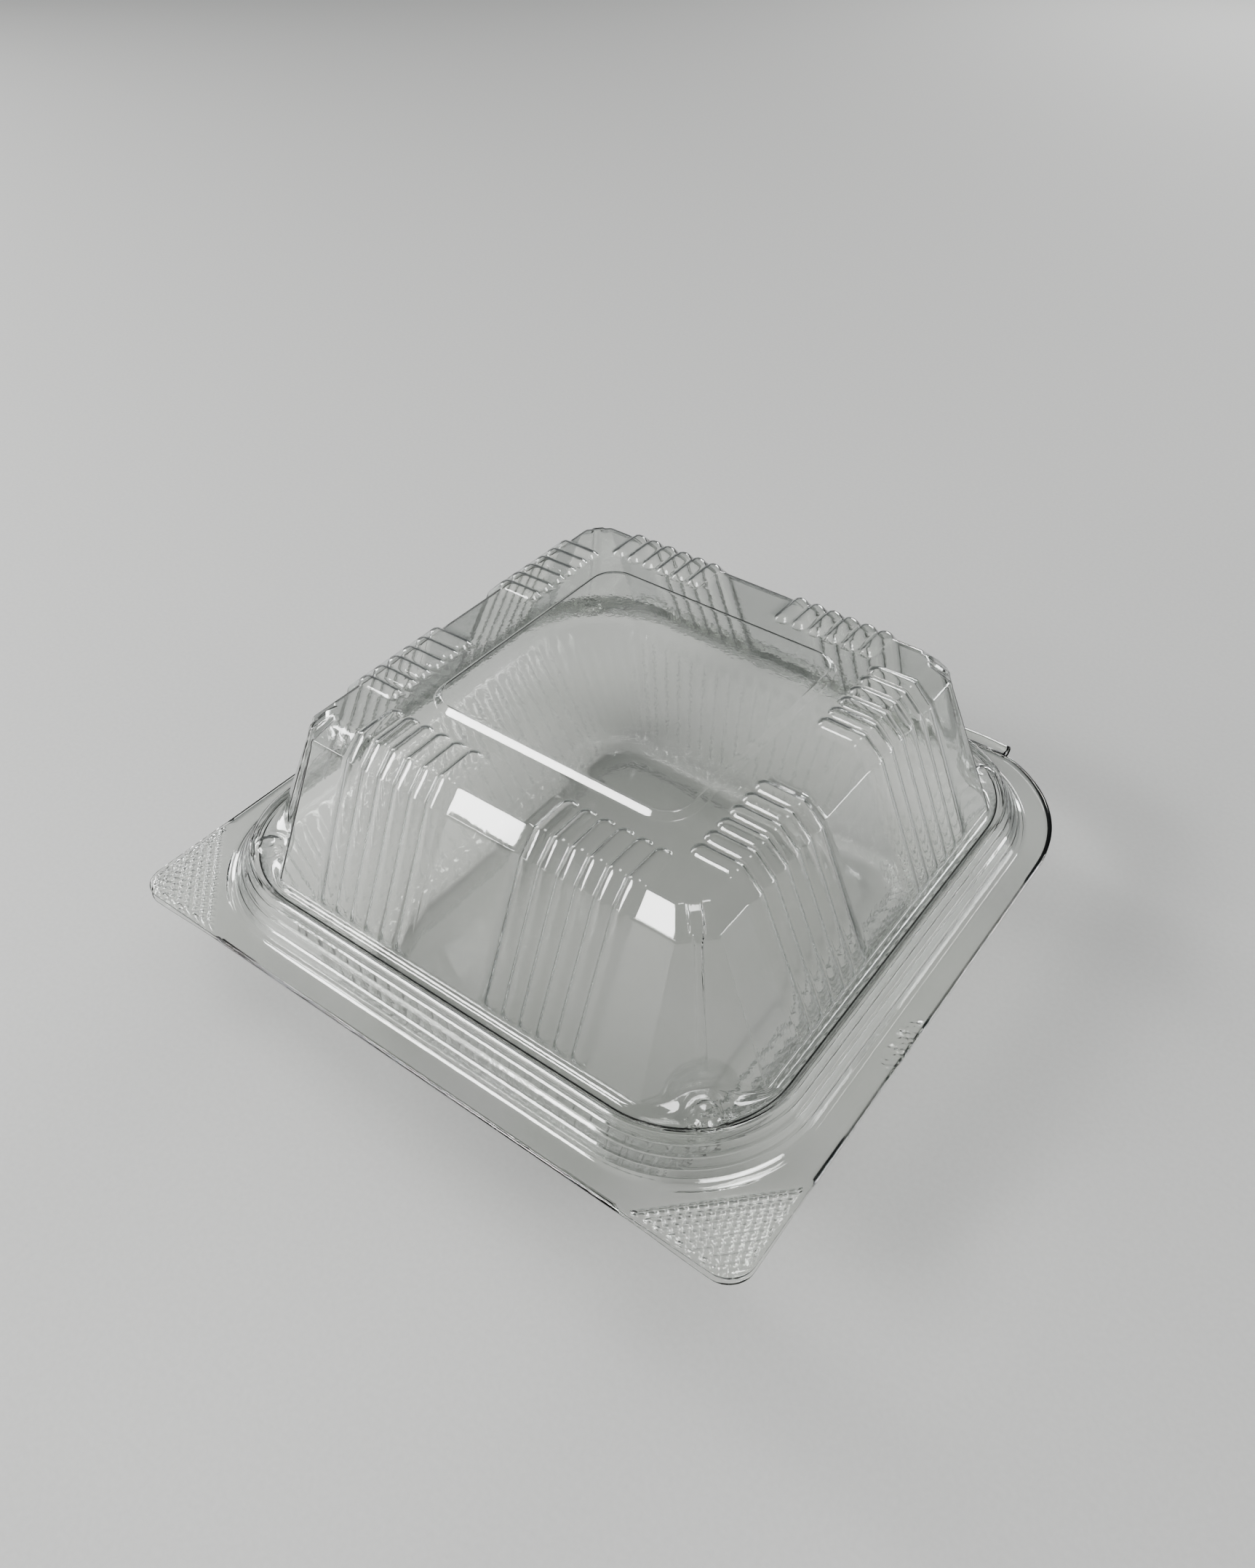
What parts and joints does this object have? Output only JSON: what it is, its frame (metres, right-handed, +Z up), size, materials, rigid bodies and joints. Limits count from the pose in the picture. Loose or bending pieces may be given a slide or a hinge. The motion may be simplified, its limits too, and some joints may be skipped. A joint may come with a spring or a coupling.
{
  "type": "hinged clear clamshell box",
  "caption": "Square clear thermoformed box with a fluted tray, a ribbed domed lid on a folded strip hinge, and knurled pull tabs on the front corners.",
  "frame": {"origin": "middle of the tray's underside, on the surface it stands on", "axes": "+X to the right along the front edge, +Y to the hinge side, +Z up"},
  "size_m": [0.15, 0.1525, 0.0738],
  "materials": {
    "clear_plastic": "glossy clear"
  },
  "bodies": {
    "tray": {"tray_well": "clear_plastic", "tray_rim": "clear_plastic", "tray_tab_left": "clear_plastic", "tray_tab_right": "clear_plastic", "hinge_tray_leaf": "clear_plastic"},
    "lid": {"lid_dome": "clear_plastic", "lid_rim": "clear_plastic", "lid_tab_left": "clear_plastic", "lid_tab_right": "clear_plastic", "hinge_lid_leaf": "clear_plastic"}
  },
  "joints": [
    {"name": "lid_hinge", "type": "hinge", "parent": "tray", "child": "lid", "pos_m": [0, 0.0762, 0.02985], "axis": [-1, 0, 0], "range_deg": [0, 160]}
  ]
}
